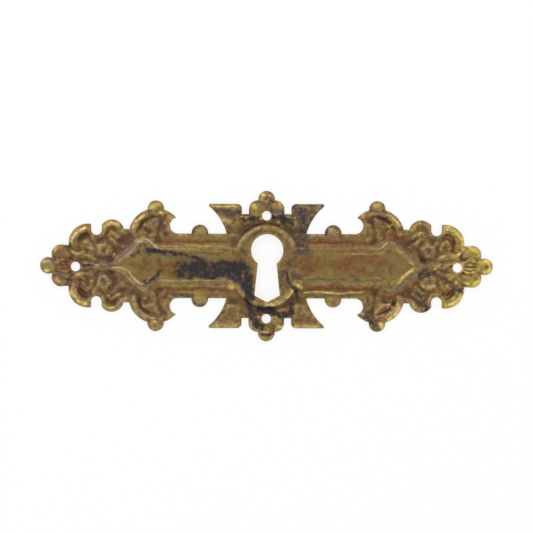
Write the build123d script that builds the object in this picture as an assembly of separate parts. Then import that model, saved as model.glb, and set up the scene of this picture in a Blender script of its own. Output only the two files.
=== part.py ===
"""Keyhole escutcheon pressed from one brass sheet, lying on its back, mm.

The back is the plane z = 0, the front faces +Z and the keyhole's round end points to +Y.
Sizes are given for one quarter of the plate and mirrored across both centre lines.
"""

import os
from math import sqrt

from build123d import *

# the sheet
sheet = 0.5  # thickness of the brass
margin = 0.25  # flat left between a raised band and the cut edge
draft = 35.0  # lean of the raised sides, in degrees from upright
dome_share = 0.6  # share of a bead's full rise that wear has left

# the bar that joins the two ends
bar_height = 16.3
bar_bead_x = 16.83
bar_bead_y = 8.3
bar_bead_radius = 2.12
bar_bead_rise = 1.35
rail_start_x = 10.8
rail_end_x = 22.4
rail_width = 1.6
rail_rise = 0.4

# the keyhole and the nail holes
keyhole_radius = 4.07
keyhole_round_y = 4.0
key_neck_width = 4.07
key_foot_width = 6.42
key_foot_y = -7.4
key_point_y = -9.16
nail_hole_radius = 1.19
end_nail_x = 48.27
middle_nail_y = 13.02
pierce_shift_y = -0.28  # the nail holes sit a little low on the blank
keyhole_x = 0.18  # and the keyhole a little to one side

# the raised oval round the keyhole
boss_foot_x = 9.2
boss_foot_y = 11.0
boss_slope = 0.7  # how far its outer side leans in
boss_crest_width = 0.5
boss_inner_slope = 0.6
boss_crest_z = 2.3
boss_field_z = 1.75

# the double-ended arrow moulding and the panel sunk in it
arrow_shaft_y = 5.45
arrow_neck_x = 28.1
arrow_barb_x = 31.2
arrow_barb_y = 7.5
arrow_flare_x = 36.6  # where the hollow sides of the head flatten towards the tip
arrow_flare_y = 2.5
arrow_sweep = 2.0  # radius of the inner corners at the necks and the flares
arrow_tip_x = 42.0
arrow_crest_z = 2.2
moulding_width = 1.75
panel_z = 1.5
panel_start_x = 6.2

# the fishtail fins and the trefoil between them, above and below the keyhole
fin_inner_x = 6.26
fin_tip_x = 15.35
fin_top_y = 15.7
fin_root_x = 10.1
fin_sweep = 13.3  # radius of the hollow outer edge
fin_foot_y = 9.7
fin_margin = 0.4  # flat left round the raised fin, so that it clears the rounded corners
fin_top_z = 1.05
fin_corner_radius = 1.2
fin_tip_radius = 0.4
fin_gap_floor_y = 13.15
crown_y = 16.87
crown_radius = 2.12
crown_rise = 0.5
crown_side_x = 2.21
crown_side_y = 14.34
crown_side_radius = 2.28
crown_side_rise = 0.5

# the leaf shoulders
shoulder_x = 28.0
shoulder_y = 7.66
shoulder_radius = 6.86
shoulder_band_width = 1.9
shoulder_band_rise = 0.7
shoulder_band_start = 14.0
shoulder_band_end = 71.0
bay_x = 22.38  # round hollow that cuts the shoulder's beak
bay_y = 10.2
bay_radius = 2.05
leaflet_stem_x = 26.8
leaflet_stem_y = 12.4
leaflet_tip_x = 32.4
leaflet_tip_y = 10.3
leaflet_heel_x = 28.4
leaflet_heel_y = 8.7
leaflet_rise = 0.7
finial_x = 27.97
finial_y = 14.44
finial_radius = 2.07
finial_rise = 1.35
valley_y = 9.31

# the lobes, volutes and crescents of each end
lobe_x = 39.07
lobe_y = 8.65
lobe_radius = 3.03
lobe_band_width = 1.3
lobe_band_rise = 0.6
lobe_band_start = 5.0
lobe_band_end = 165.0
volute_x = 41.2
volute_y = 4.1
volute_radius = 1.9
volute_rise = 0.45
slot_x = 42.97
slot_half_width = 1.38
slot_floor_y = 7.74
crescent_x = 45.07
crescent_y = 5.67
crescent_radius = 4.93
crescent_band_width = 2.3
crescent_band_rise = 0.75
crescent_band_start = -15.0
crescent_band_end = 92.0
waist_y = 5.2
leaf_x = 51.86
leaf_y = 2.88
leaf_radius = 2.43
leaf_rise = 0.55
tip_x = 55.03
tip_radius = 2.12
tip_rise = 1.35
spine_end_x = 46.4
spine_width = 1.7
spine_rise = 0.9

bar_edge_y = bar_height / 2
below = 0.2  # how far a cutting shape starts under the back


def mirrored(shape, across):
    """The shape and its image across one centre line."""
    return [shape, mirror(shape, about=across)]


def quartered(shapes):
    """Each shape in all four quarters of the plate."""
    images = []
    for shape in shapes:
        images += mirrored(shape, Plane.YZ)
        images += mirrored(Rot(0, 0, 180) * shape, Plane.YZ)
    return images


def disc(x, y, radius):
    return Pos(x, y) * Circle(radius)


def block(x0, y0, x1, y1):
    """Flat rectangle between two corners."""
    return Pos((x0 + x1) / 2, (y0 + y1) / 2) * Rectangle(x1 - x0, y1 - y0)


def drafted(face, z0, z1):
    """Solid with leaning sides between two heights."""
    return Pos(0, 0, z0) * extrude(face, z1 - z0, taper=draft)


def frustum(lower, upper, z0, z1):
    """Solid between two like faces at two heights."""
    return loft([Pos(0, 0, z0) * lower, Pos(0, 0, z1) * upper], ruled=True)


def raised(face, rise):
    """Flat-topped relief with leaning sides on the front of the sheet."""
    return drafted(face, sheet, sheet + rise)


def bead(x, y, base_radius, rise):
    """Round bead turned in two cones, with a flat worn on its top."""
    ball = (base_radius**2 + rise**2) / (2 * rise)
    profile = [(0, 0)]
    for share in (0, dome_share / 2, dome_share):
        height = share * rise
        reach = sqrt(ball**2 - (ball - rise + height) ** 2)
        profile.append((reach, height))
    profile.append((0, dome_share * rise))
    section = make_face(Plane.XZ * Polyline(*profile, close=True))
    return Pos(x, y, sheet) * revolve(section, Axis.Z)


def band_face(x, y, edge_radius, width, start, end):
    """Stretch of a rim between two angles, just inside a round edge."""
    outer_arc = CenterArc((x, y), edge_radius - margin, start, end - start)
    inner_arc = CenterArc((x, y), edge_radius - margin - width, start, end - start)
    ends = [Line(inner_arc @ 0, outer_arc @ 0), Line(outer_arc @ 1, inner_arc @ 1)]
    return make_face([outer_arc, inner_arc] + ends)


def leaflet_face():
    """Three-cornered leaf inside the shoulder."""
    stem = (leaflet_stem_x, leaflet_stem_y)
    heel = (leaflet_heel_x, leaflet_heel_y)
    tip = (leaflet_tip_x, leaflet_tip_y)
    return make_face(Polyline(stem, heel, tip, close=True))


def fin_face(inset, foot_y):
    """One fin with its hollow outer edge, drawn in by an inset."""
    tip = (fin_tip_x - 2 * inset, fin_top_y - inset)
    root = (fin_root_x - inset / 2, foot_y)
    corner = (fin_inner_x + inset, foot_y)
    top = (fin_inner_x + inset, fin_top_y - inset)
    return make_face([RadiusArc(root, tip, fin_sweep), Polyline(tip, top, corner, root)])


def boss_face(inset):
    return Ellipse(boss_foot_x - inset, boss_foot_y - inset)


def arrow_face():
    """Foot of the double-ended arrow, whose heads have hollow sides."""
    flare = (arrow_flare_x, arrow_flare_y)
    quarter = [flare, (arrow_barb_x, arrow_barb_y), (arrow_neck_x, arrow_shaft_y)]
    upper = [(arrow_tip_x, 0)] + quarter + [(-x, y) for x, y in reversed(quarter)]
    lower = [(-x, -y) for x, y in upper]
    face = make_face(Polyline(*upper, *lower, close=True))
    inner_corners = face.vertices().filter_by(lambda v: arrow_barb_y > abs(v.Y) > 0)
    return fillet(inner_corners, arrow_sweep)


def panel_face():
    """Floor of the panel in one half of the arrow."""
    floor = offset(arrow_face(), -moulding_width, kind=Kind.INTERSECTION)
    return floor & block(panel_start_x, -bar_height, arrow_tip_x, bar_height)


def fin_outline():
    fin = fin_face(0, bar_edge_y)
    corner = fin.vertices().group_by(Axis.Y)[-1].sort_by(Axis.X)[0]
    fin = fillet(corner, fin_corner_radius)
    tip = fin.vertices().sort_by(Axis.X)[-1]
    return fillet(tip, fin_tip_radius)


def shoulder_outline():
    """Round shoulder, cut by the bay so that it ends in a beak."""
    bay = disc(bay_x, bay_y, bay_radius)
    bay += block(shoulder_x - 2 * shoulder_radius, bar_edge_y, bay_x, bay_y + bay_radius)
    return disc(shoulder_x, shoulder_y, shoulder_radius) - bay


def outline():
    """The blank's outer shape, before the end slots are cut."""
    quarter = [
        block(0, 0, lobe_x, bar_edge_y),
        block(0, 0, fin_inner_x + fin_corner_radius, fin_gap_floor_y),
        block(0, 0, crown_side_x + crown_side_radius, crown_side_y),
        block(shoulder_x, 0, lobe_x, valley_y),
        block(lobe_x, 0, crescent_x, slot_floor_y),
        block(lobe_x, 0, leaf_x, waist_y),
        block(lobe_x, 0, tip_x, leaf_y),
        fin_outline(),
        shoulder_outline(),
        disc(bar_bead_x, bar_bead_y, bar_bead_radius),
        disc(finial_x, finial_y, finial_radius),
        disc(lobe_x, lobe_y, lobe_radius),
        disc(crescent_x, crescent_y, crescent_radius),
        disc(leaf_x, leaf_y, leaf_radius),
        disc(tip_x, 0, tip_radius),
        disc(0, crown_y, crown_radius),
        disc(crown_side_x, crown_side_y, crown_side_radius),
    ]
    pieces = quartered(quarter)
    return pieces[0] + pieces[1:]


def mouldings():
    """The arrow, the oval, the rails and the spines, before the fields are sunk."""
    arrow = drafted(arrow_face(), sheet, arrow_crest_z)
    boss = frustum(boss_face(0), boss_face(boss_slope), sheet, boss_crest_z)
    rail_y = bar_edge_y - margin
    rail = raised(block(rail_start_x, rail_y - rail_width, rail_end_x, rail_y), rail_rise)
    spine = raised(block(arrow_flare_x, -spine_width / 2, spine_end_x, spine_width / 2), spine_rise)
    return [arrow, boss] + quartered([rail]) + mirrored(spine, Plane.YZ)


def fields():
    """What is sunk into the arrow and the oval on the front."""
    top = boss_crest_z + below
    panel = Pos(0, 0, panel_z) * extrude(panel_face(), top - panel_z, taper=-draft)
    lean = boss_slope + boss_crest_width
    oval = frustum(boss_face(lean + boss_inner_slope), boss_face(lean), boss_field_z, top)
    return mirrored(panel, Plane.YZ) + [oval]


def bands():
    """The rims of the crescents, shoulders and lobes, the leaves in the shoulders, and the fins."""
    crescent = band_face(crescent_x, crescent_y, crescent_radius, crescent_band_width,
                         crescent_band_start, crescent_band_end)
    shoulder = band_face(shoulder_x, shoulder_y, shoulder_radius, shoulder_band_width,
                         shoulder_band_start, shoulder_band_end)
    lobe = band_face(lobe_x, lobe_y, lobe_radius, lobe_band_width, lobe_band_start, lobe_band_end)
    quarter = [
        raised(crescent, crescent_band_rise),
        raised(shoulder, shoulder_band_rise),
        raised(lobe, lobe_band_rise),
        raised(leaflet_face(), leaflet_rise),
        drafted(fin_face(fin_margin, fin_foot_y), sheet, fin_top_z),
    ]
    return quartered(quarter)


def rounds():
    """The beads and the flatter round leaves of the front."""
    quarter = [
        bead(bar_bead_x, bar_bead_y, bar_bead_radius, bar_bead_rise),
        bead(finial_x, finial_y, finial_radius, finial_rise),
        raised(disc(leaf_x, leaf_y, leaf_radius), leaf_rise),
        raised(disc(volute_x, volute_y, volute_radius), volute_rise),
        raised(disc(crown_side_x, crown_side_y, crown_side_radius), crown_side_rise),
    ]
    tips = mirrored(bead(tip_x, 0, tip_radius, tip_rise), Plane.YZ)
    crowns = mirrored(raised(disc(0, crown_y, crown_radius), crown_rise), Plane.XZ)
    return quartered(quarter) + tips + crowns


def hollows():
    """The back of the arrow, the oval and the fins."""
    arrow_hollow = offset(arrow_face(), -sheet, kind=Kind.INTERSECTION)
    arrow = drafted(arrow_hollow, -below, panel_z - sheet)
    oval = frustum(boss_face(sheet), boss_face(boss_slope + sheet), -below, boss_field_z - sheet)
    fin = drafted(fin_face(fin_margin + sheet, fin_foot_y + sheet), -below, fin_top_z - sheet)
    return [arrow, oval] + quartered([fin])


def piercings():
    """The keyhole, the four nail holes and the end slots."""
    key = make_face(Polyline(
        (keyhole_x - key_neck_width / 2, keyhole_round_y),
        (keyhole_x + key_neck_width / 2, keyhole_round_y),
        (keyhole_x + key_foot_width / 2, key_foot_y),
        (keyhole_x, key_point_y),
        (keyhole_x - key_foot_width / 2, key_foot_y),
        close=True,
    ))
    faces = [disc(keyhole_x, keyhole_round_y, keyhole_radius) + key]
    faces += mirrored(disc(end_nail_x, pierce_shift_y, nail_hole_radius), Plane.YZ)
    for side in (1, -1):
        faces.append(disc(0, side * middle_nail_y + pierce_shift_y, nail_hole_radius))
    floor_y = slot_floor_y + slot_half_width
    slot = disc(slot_x, floor_y, slot_half_width)
    slot += block(slot_x - slot_half_width, floor_y, slot_x + slot_half_width, bar_height)
    faces += quartered([slot])
    depth = boss_crest_z + 2 * below
    return [Pos(0, 0, -below) * extrude(face, depth, dir=(0, 0, 1)) for face in faces]


def escutcheon_plate():
    plate = extrude(outline(), sheet)
    plate += mouldings()
    plate -= fields()
    plate += bands() + rounds()
    plate -= hollows()
    plate -= piercings()
    return plate


os.makedirs("parts", exist_ok=True)
export_step(escutcheon_plate(), "parts/escutcheon_plate.step")
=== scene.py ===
"""Looks of the keyhole escutcheon: chased relief, aged brass, a pale floor and soft light.

The relief is drawn in millimetres on the plate: x along it, y towards the round end of the
keyhole and z out of the front. Most of it repeats in the four quarters, so it is drawn once,
in the quarter where x and y are positive. Objects are in metres.
"""

from math import ceil, cos, radians, sin

import bpy
import numpy as np
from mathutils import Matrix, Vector
from mathutils.bvhtree import BVHTree
from mathutils.geometry import delaunay_2d_cdt
from mathutils.kdtree import KDTree


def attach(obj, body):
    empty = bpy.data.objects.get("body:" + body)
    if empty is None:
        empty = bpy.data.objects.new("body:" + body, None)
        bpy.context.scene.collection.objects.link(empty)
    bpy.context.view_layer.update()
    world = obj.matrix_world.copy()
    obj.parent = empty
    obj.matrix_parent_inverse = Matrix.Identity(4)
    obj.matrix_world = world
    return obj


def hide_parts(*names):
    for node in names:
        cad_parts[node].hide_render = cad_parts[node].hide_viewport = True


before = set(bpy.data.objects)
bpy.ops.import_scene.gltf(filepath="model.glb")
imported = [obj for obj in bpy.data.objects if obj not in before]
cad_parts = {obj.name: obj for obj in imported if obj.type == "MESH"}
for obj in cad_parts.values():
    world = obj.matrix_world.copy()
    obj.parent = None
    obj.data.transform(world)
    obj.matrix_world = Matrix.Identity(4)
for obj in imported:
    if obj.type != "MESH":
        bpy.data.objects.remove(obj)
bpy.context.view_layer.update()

NODE = "escutcheon_plate"
MM = 0.001

# sizes of the mesh
cell = 0.1  # of the grid on which the relief is worked out
front_step = 0.2
back_step = 0.5
cad_soften = 0.28  # how far pressing rounds the solid's corners
bar_soften = 0.45  # and along the bar and the boss
edge_roll = 0.2  # rounding of the cut edge on the front
sheet = 0.5
plain_relief = 0.55  # share of the die's relief that the worn front keeps on the bar and the boss
scroll_relief = 0.85  # and on the scrollwork
relief_reach = 2.5  # over what distance
least_height = 0.3  # of the front
least_edge = 0.2  # and along the rolled edge
headroom = 0.01  # that the front keeps under the solid's highest point
roll_share = 0.8  # how much of the roll the cut edge shows
back_soften = 0.45  # how much rounder the back is than the front
back_slack = 0.12  # and how much shallower
back_flat = (0.3, 1.2)  # from the edge, where the flat ends and the hollow is full
thinnest = 0.6  # share of the sheet that is left everywhere
rim_clearance = 0.6  # share of a step that the mesh keeps clear along the rims
crease = 50  # degrees, from which an edge is drawn sharp
wall_tilt = 0.02  # of a normal, under which a face of the solid is an upright wall
back_tilt = -0.1  # and beyond which it faces back
seed = 11
tip_corner = (54.4, 2.2)  # the blank's square corner beyond this, beside the bead at each tip,
tip_notch = (54.08, 1.9)  # is drawn in to the notch between the bead and the leaf

# the photographed frame
photo_width = 134.8  # what the picture spans at the plate
photo_turn = 0.0036  # radians that the plate lies turned in the picture
photo_shift = (-0.01, 0.1)  # of the plate's centre from the middle of the picture
lens = 120.0
sensor = 36.0


# reading the solid

def solid_mesh():
    """Corners in millimetres and triangles of the solid, with shared corners joined."""
    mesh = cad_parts[NODE].data
    mesh.calc_loop_triangles()
    corners = np.zeros(len(mesh.vertices) * 3)
    mesh.vertices.foreach_get("co", corners)
    triangles = np.zeros(len(mesh.loop_triangles) * 3, int)
    mesh.loop_triangles.foreach_get("vertices", triangles)
    corners, shared = np.unique(np.round(corners.reshape(-1, 3) / MM, 3), axis=0, return_inverse=True)
    return corners, shared.reshape(-1)[triangles].reshape(-1, 3)


def rim_loops(corners, triangles):
    """The outline and the holes, as loops of points where the back meets an upright wall."""
    points = corners[triangles]
    normals = np.cross(points[:, 1] - points[:, 0], points[:, 2] - points[:, 0])
    lengths = np.linalg.norm(normals, axis=1)
    tilt = normals[:, 2] / np.maximum(lengths, 1e-12)
    upright = np.abs(tilt) < wall_tilt
    walls = set()
    for triangle in triangles[upright]:
        walls |= {frozenset((triangle[i], triangle[i - 1])) for i in range(3)}
    follow = {}
    for triangle in triangles[tilt < back_tilt]:
        for i in range(3):
            if frozenset((triangle[i - 1], triangle[i])) in walls:
                follow[triangle[i - 1]] = triangle[i]
    loops = []
    while follow:
        start, corner = follow.popitem()
        loop = [start]
        while corner != start:
            loop.append(corner)
            corner = follow.pop(corner)
        loops.append(corners[loop[::-1]][:, :2])
    return loops


def divided(loop, step):
    """The loop with its long edges cut into short ones."""
    points = []
    for here, there in zip(loop, np.roll(loop, -1, axis=0)):
        count = max(1, ceil(np.linalg.norm(there - here) / step))
        points += [here + (there - here) * i / count for i in range(count)]
    return np.array(points)


def notched(loop):
    """The loop with the corner beside each tip's bead drawn in."""
    corner = (np.abs(loop) > tip_corner).all(axis=1)
    return np.where(corner[:, None], np.sign(loop) * tip_notch, loop)


solid_corners, solid_triangles = solid_mesh()
rims = [notched(loop) for loop in rim_loops(solid_corners, solid_triangles)]
low = solid_corners.min(axis=0)
high = solid_corners.max(axis=0)

# the grid

grid_x = np.arange(low[0] - 2 * cell, high[0] + 2 * cell, cell)
grid_y = np.arange(low[1] - 2 * cell, high[1] + 2 * cell, cell)
X, Y = np.meshgrid(grid_x, grid_y)


def solid_top():
    """Height of the solid's front over the grid, and where there is any metal."""
    tree = BVHTree.FromPolygons(solid_corners.tolist(), solid_triangles.tolist())
    down = Vector((0, 0, -1))
    heights = np.zeros(X.size)
    metal = np.zeros(X.size, bool)
    for i, (x, y) in enumerate(zip(X.flat, Y.flat)):
        hit = tree.ray_cast(Vector((x, y, 2 * high[2])), down)[0]
        if hit is not None:
            heights[i] = hit.z
            metal[i] = True
    return heights.reshape(X.shape), metal.reshape(X.shape)


def blurred(values, radius):
    """Gaussian blur of a grid, with the radius in millimetres."""
    reach = int(ceil(3 * radius / cell))
    weights = np.exp(-0.5 * (np.arange(-reach, reach + 1) * cell / radius) ** 2)
    weights /= weights.sum()
    for axis in (0, 1):
        pad = [(0, 0), (0, 0)]
        pad[axis] = (reach, reach)
        padded = np.pad(values, pad, mode="edge")
        values = sum(w * np.take(padded, range(i, i + values.shape[axis]), axis)
                     for i, w in enumerate(weights))
    return values


top, metal = solid_top()
metal &= (np.abs(X) < tip_corner[0]) | (np.abs(Y) < tip_corner[1])


def soft(values, radius):
    """Blur that takes in the metal alone, so that nothing sinks towards the edges."""
    return blurred(values * metal, radius) / np.maximum(blurred(metal.astype(float), radius), 1e-3)


def sampled(values, points):
    """Values of a grid at any points."""
    u = np.clip((points[:, 0] - grid_x[0]) / cell, 0, len(grid_x) - 1.001)
    v = np.clip((points[:, 1] - grid_y[0]) / cell, 0, len(grid_y) - 1.001)
    i, j = u.astype(int), v.astype(int)
    a, b = u - i, v - j
    lower = values[j, i] * (1 - a) + values[j, i + 1] * a
    upper = values[j + 1, i] * (1 - a) + values[j + 1, i + 1] * a
    return lower * (1 - b) + upper * b


def smoothstep(values, start, end):
    """0 up to the start, 1 from the end on, and a smooth rise between them."""
    share = np.clip((values - start) / (end - start), 0, 1)
    return share * share * (3 - 2 * share)


random = np.random.default_rng(seed)


def cloud(size):
    """Smooth unevenness with bumps of about this size, from about -1 to 1."""
    field = blurred(random.standard_normal(X.shape), size / 2)
    return field / (2 * field.std())


# drawing on the grid

sway = 0.12  # how far the four quarters differ from each other, as a hand-cut die does
QX = np.abs(X + sway * cloud(9.0))
QY = np.abs(Y + sway * cloud(9.0))


def arc(x, y, radius, start, end):
    """Points along an arc, with the angles in degrees."""
    count = max(3, ceil(abs(end - start) / 12))
    angles = [radians(start + (end - start) * i / count) for i in range(count + 1)]
    return [(x + radius * cos(a), y + radius * sin(a)) for a in angles]


def spiral(x, y, outer, inner, start, end):
    """Points along a scroll that winds in from one angle to another."""
    count = ceil(abs(end - start) / 15)
    shares = [i / count for i in range(count + 1)]
    turns = [(outer + (inner - outer) * s, radians(start + (end - start) * s)) for s in shares]
    return [(x + radius * cos(a), y + radius * sin(a)) for radius, a in turns]


def curve(*points):
    """Smooth line through a few points."""
    p = np.array([points[0], *points, points[-1]], float)
    line = []
    for a, b, c, d in zip(p, p[1:], p[2:], p[3:]):
        for t in np.arange(0, 1, 0.125):
            line.append(b + t / 2 * (c - a + t * (2 * a - 5 * b + 4 * c - d + t * (3 * (b - c) + d - a))))
    return line + [p[-1]]


def nearness(path, width, gx, gy, taper=1.0):
    """How near the grid is to a line: 1 on it, 0 at half its width. Taper thins its far end."""
    path = np.array(path)
    half = width / 2
    near = np.zeros(gx.shape)
    inside = (gx > path[:, 0].min() - half) & (gx < path[:, 0].max() + half)
    inside &= (gy > path[:, 1].min() - half) & (gy < path[:, 1].max() + half)
    x, y = gx[inside], gy[inside]
    best = np.zeros(x.shape)
    steps = max(1, len(path) - 1)
    for i, (here, there) in enumerate(zip(path, path[1:])):
        dx, dy = there - here
        along = np.clip(((x - here[0]) * dx + (y - here[1]) * dy) / (dx * dx + dy * dy + 1e-9), 0, 1)
        away = np.hypot(x - here[0] - along * dx, y - here[1] - along * dy)
        reach = half * (1 + (taper - 1) * (i + along) / steps)
        best = np.maximum(best, 1 - away / reach)
    near[inside] = best
    return near


def rounded(near):
    """Round section of a ridge from how near its line is."""
    return 1 - (1 - near) ** 2


def hump(near):
    """Softer section that also flows out at the foot."""
    return near * near * (3 - 2 * near)


def spot(x, y, radius, gx, gy):
    """How near the grid is to a point: 1 at it, 0 at the radius."""
    return np.clip(1 - np.hypot(gx - x, gy - y) / radius, 0, 1)


# the relief, for one quarter

# the arrow's foot, from the boss to the tip
arrow = curve((0, 5.2), (14.0, 5.2), (26.6, 5.15), (28.2, 5.35), (29.2, 6.1), (30.2, 6.9), (31.3, 7.1),
              (32.5, 6.6), (33.9, 5.3), (35.5, 3.75), (37.3, 2.3), (39.2, 1.4), (42.0, 0.8))
arrow_crest = 2.1
arrow_panel = 1.6
arrow_field = 0.75
arrow_span = 40.0  # wide enough to measure from the foot to any place inside
head_start = (27.0, 29.0)  # where the rounded head takes over from the solid along the arrow,
head_end = (38.0, 40.5)  # where it gives way again
head_side = (-1.8, -0.7)  # and beside its foot
moulding_rise = (-0.2, 1.2)  # from the foot inwards, up to the crest
moulding_sink = (-0.1, 0.7)  # from the inner edge inwards, down to the panel
moulding_width = 2.1
moulding_narrowing = 0.65  # towards the arrow's tip
narrowing_x = (31.5, 34.0)
bar_end = 26.0
bar_side = 8.4
line_rise = 0.16  # of the two fine lines along the moulding
line_width = 0.7
outer_line = 0.8  # how far in the outer one lies
boss_foot = (9.2, 11.0)
ring_rise = 0.15  # of the ring on the boss
ring_width = 1.2
ring_place = 1.2
ridge_spread = 1.15  # how much wider than drawn the ridges flow out
unevenness = ((0.05, 3.0), (0.02, 1.1))  # depth and size of the waves that pressing leaves
finish_soften = 0.1

ridges = [
    # path, width, rise, taper
    # shoulder: rim, rim under the bead and towards the beak, leaf, strands that fan from the bar
    (arc(28.0, 7.66, 5.6, 5, 72), 2.6, 0.35, 1),
    (arc(28.0, 7.66, 5.5, 68, 108), 1.4, 0.25, 1),
    (arc(28.0, 7.66, 5.8, 104, 131), 1.9, 0.45, 0.6),
    (curve((27.4, 12.0), (29.6, 11.3), (31.2, 10.0), (31.3, 8.9), (30.4, 8.4)), 2.0, 0.28, 0.6),
    (curve((28.9, 6.9), (28.3, 8.4), (27.5, 10.8)), 2.1, 0.3, 0.6),
    (curve((25.6, 6.2), (26.4, 8.0), (25.9, 10.6)), 2.1, 0.3, 0.6),
    (arc(22.38, 10.2, 2.9, -60, 36), 1.7, 0.4, 0.8),
    # rim of the valley, and the lobe with its hook
    (curve((33.4, 8.7), (35.0, 8.6), (36.4, 8.9)), 1.6, 0.35, 1),
    (arc(39.07, 8.65, 2.2, -5, 170), 2.0, 0.3, 1),
    (curve((37.0, 7.2), (38.2, 7.9), (39.2, 8.4), (39.8, 7.8)), 1.4, 0.4, 0.7),
    (curve((36.4, 4.8), (38.0, 5.8), (39.2, 6.8)), 1.8, 0.3, 0.7),
    # volute, its tail and the rim of the slot
    (spiral(40.9, 3.6, 1.8, 0.7, 160, -170), 1.7, 0.26, 0.8),
    (curve((42.4, 4.4), (43.0, 5.7), (43.8, 6.8)), 1.7, 0.35, 0.7),
    (arc(42.97, 9.12, 1.95, 195, 345), 1.3, 0.35, 1),
    # crescent: fat rim, hook and smile round its bump, and the leaves towards the nail hole
    (arc(45.07, 5.67, 3.5, -18, 95), 2.9, 0.45, 1),
    (curve((44.0, 4.3), (44.6, 5.6), (45.8, 6.3)), 1.4, 0.35, 0.7),
    (curve((46.2, 3.4), (47.4, 2.6), (48.7, 3.0), (49.6, 4.0)), 1.2, 0.45, 0.7),
    (curve((43.4, 1.5), (45.2, 2.4), (47.0, 2.2), (48.6, 1.9)), 1.5, 0.3, 0.6),
    # flutes of the palmette
    (curve((49.7, 0.35), (51.5, 0.45), (53.4, 0.3)), 0.75, 0.24, 0.8),
    (curve((49.4, 1.0), (51.2, 1.45), (53.2, 0.9)), 0.75, 0.24, 0.8),
    (curve((54.1, 2.05), (53.5, 0.8), (52.6, 0.8), (51.3, 1.5)), 0.8, 0.15, 0.8),
    # rims of the fin and the bar
    (curve((7.1, 15.0), (10.0, 15.0), (13.6, 15.1)), 1.3, 0.25, 0.7),
    (curve((10.2, 6.9), (17.0, 6.9), (24.2, 6.9)), 0.8, 0.15, 1),
]

grooves = [
    # path, width, depth, taper
    (arc(28.0, 7.66, 4.45, 15, 72), 0.9, 0.3, 1),
    (curve((26.4, 14.0), (28.0, 13.7), (29.5, 14.0)), 0.8, 0.3, 1),
    (curve((29.2, 10.9), (30.4, 10.4)), 1.3, 0.3, 0.6),
    (arc(40.9, 3.7, 2.6, 120, 330), 1.2, 0.2, 1),
    (arc(45.07, 5.67, 2.0, -20, 100), 1.5, 0.2, 1),
    (curve((43.9, 0), (45.2, 0), (46.6, 0)), 1.0, 0.45, 1),
    (curve((49.6, 1.75), (50.9, 2.05), (52.5, 1.6)), 0.8, 0.25, 0.7),
    (curve((0.5, 15.3), (1.9, 16.2)), 0.8, 0.35, 1),
    (curve((4.6, 13.4), (5.4, 12.4), (6.8, 11.6)), 1.0, 0.25, 1),
    (curve((7.6, 13.7), (10.0, 13.7), (12.0, 13.9)), 1.3, 0.15, 0.7),
    (curve((39.0, 1.9), (40.3, 1.5)), 1.4, 0.4, 0.8),
]

domes = [
    # centre, radius, rise
    (16.83, 8.3, 2.1, 0.5),
    (27.97, 14.9, 1.8, 0.5),
    (51.86, 2.88, 2.4, 0.6),
    (55.03, 0, 2.1, 0.45),
    (0, 16.87, 2.1, 0.55),
    (2.21, 14.34, 2.2, 0.55),
    (46.3, 5.2, 1.2, 0.5),
    (9.2, 4.9, 0.9, 0.25),
    (8.9, 3.8, 0.7, 0.2),
    (33.4, 8.2, 0.9, 0.3),
    (10.2, 11.4, 1.4, 0.15),
]

dimples = [
    # centre, radius, depth
    (0, 17.1, 0.8, 0.45),
    (46.3, 5.2, 0.5, 0.3),
    (36.6, 6.4, 2.2, 0.3),
]


def arrow_depth():
    """Distance inwards from the arrow's foot, negative outside it."""
    away = (1 - nearness(arrow, arrow_span, QX, QY)) * arrow_span / 2
    line = np.array(arrow)
    within = QY < np.interp(QX, line[:, 0], line[:, 1], right=-1)
    return np.where(within, away, -away)


def boss_depth():
    """Distance inwards from the oval's foot, about, negative outside it."""
    scale = np.hypot(QX / boss_foot[0], QY / boss_foot[1])
    return (1 - scale) * sum(boss_foot) / 2


def line_at(depth, place, width):
    """How near a depth is to one place: 1 there, 0 at half the width."""
    return np.clip(1 - np.abs(depth - place) / (width / 2), 0, 1)


into_arrow = arrow_depth()
into_boss = boss_depth()
plain = smoothstep(into_arrow, -0.8, 0.0)  # the bar, the arrow and, less so, the boss
plain = np.maximum(plain, smoothstep(bar_end - QX, 0, 2.0) * smoothstep(bar_side - QY, 0, 1.0))
plain *= 0.4 + 0.6 * smoothstep(-into_boss, 0.0, 1.0)
inner_line = moulding_width - moulding_narrowing * smoothstep(QX, *narrowing_x)  # the moulding's inner edge


def head_height():
    """Section across the arrow's head, from its foot to the panel."""
    rise = smoothstep(into_arrow, *moulding_rise)
    sink = smoothstep(into_arrow - inner_line, *moulding_sink)
    return arrow_field + (arrow_crest - arrow_field) * rise + (arrow_panel - arrow_crest) * sink


def relief():
    """Height of the finished front over the grid."""
    at_head = smoothstep(QX, *head_start) * (1 - smoothstep(QX, *head_end))
    at_head *= smoothstep(into_arrow, *head_side)
    height = soft(top, cad_soften) * (1 - plain) + soft(top, bar_soften) * plain
    height += (head_height() - height) * at_head
    outside_boss = smoothstep(-into_boss, -0.2, 0.4)
    for place in (outer_line, inner_line):
        height += line_rise * hump(line_at(into_arrow, place, line_width)) * outside_boss
    height += ring_rise * hump(line_at(into_boss, ring_place, ring_width))
    for path, width, rise, taper in ridges:
        height += rise * hump(nearness(path, width * ridge_spread, QX, QY, taper))
    for path, width, depth, taper in grooves:
        height -= depth * hump(nearness(path, width, QX, QY, taper))
    for x, y, radius, rise in domes:
        height += rise * rounded(spot(x, y, radius, QX, QY))
    for x, y, radius, depth in dimples:
        height -= depth * hump(spot(x, y, radius, QX, QY))
    height += sum(depth * cloud(size) for depth, size in unevenness)
    height = soft(height, finish_soften)
    level = soft(height, relief_reach)
    left = scroll_relief + (plain_relief - scroll_relief) * plain
    return np.clip(level + left * (height - level), least_height, high[2] - headroom)


heights = relief()

# what age has done to the metal, with painted shade in the hollows and painted highlight on the crests, in
# masks from 0 to 1

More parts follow.
